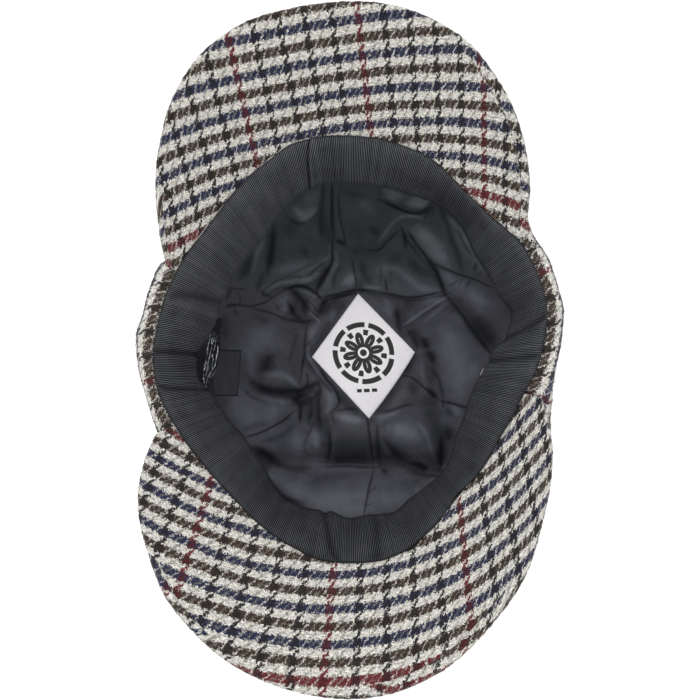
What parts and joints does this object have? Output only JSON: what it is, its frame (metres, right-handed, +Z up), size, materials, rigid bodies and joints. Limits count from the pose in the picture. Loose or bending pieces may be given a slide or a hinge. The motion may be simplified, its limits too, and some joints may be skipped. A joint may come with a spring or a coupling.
{
  "type": "deerstalker hat",
  "caption": "Tweed cap with a gored crown, a peak at the front and the back and ear flaps folded up, lying upside down with its satin lining and ribbed sweatband showing.",
  "frame": {"origin": "middle of the hat's length and width, on the surface that its crown lies on", "axes": "+X to the right ear flap, +Y to the back peak's tip, +Z up, out of the head opening"},
  "size_m": [0.1986, 0.2948, 0.142],
  "materials": {
    "tweed": "woollen check, matte",
    "lining_satin": "satin",
    "grosgrain": "ribbed, matte",
    "label_satin": "satin",
    "label_black": "satin",
    "tie_ribbon": "matte"
  },
  "bodies": {
    "root": {"crown_panel_1": "tweed", "crown_panel_2": "tweed", "crown_panel_3": "tweed", "crown_panel_4": "tweed", "crown_panel_5": "tweed", "crown_panel_6": "tweed", "lining_panel_1": "lining_satin", "lining_panel_2": "lining_satin", "lining_panel_3": "lining_satin", "lining_panel_4": "lining_satin", "lining_panel_5": "lining_satin", "lining_panel_6": "lining_satin", "sweatband": "grosgrain", "back_peak": "tweed", "front_peak": "tweed", "ear_flap_left": "tweed", "ear_flap_right": "tweed", "flap_tie": "tie_ribbon", "crown_label": "label_satin", "care_label": "label_black", "loop_label": "label_black"}
  },
  "joints": []
}
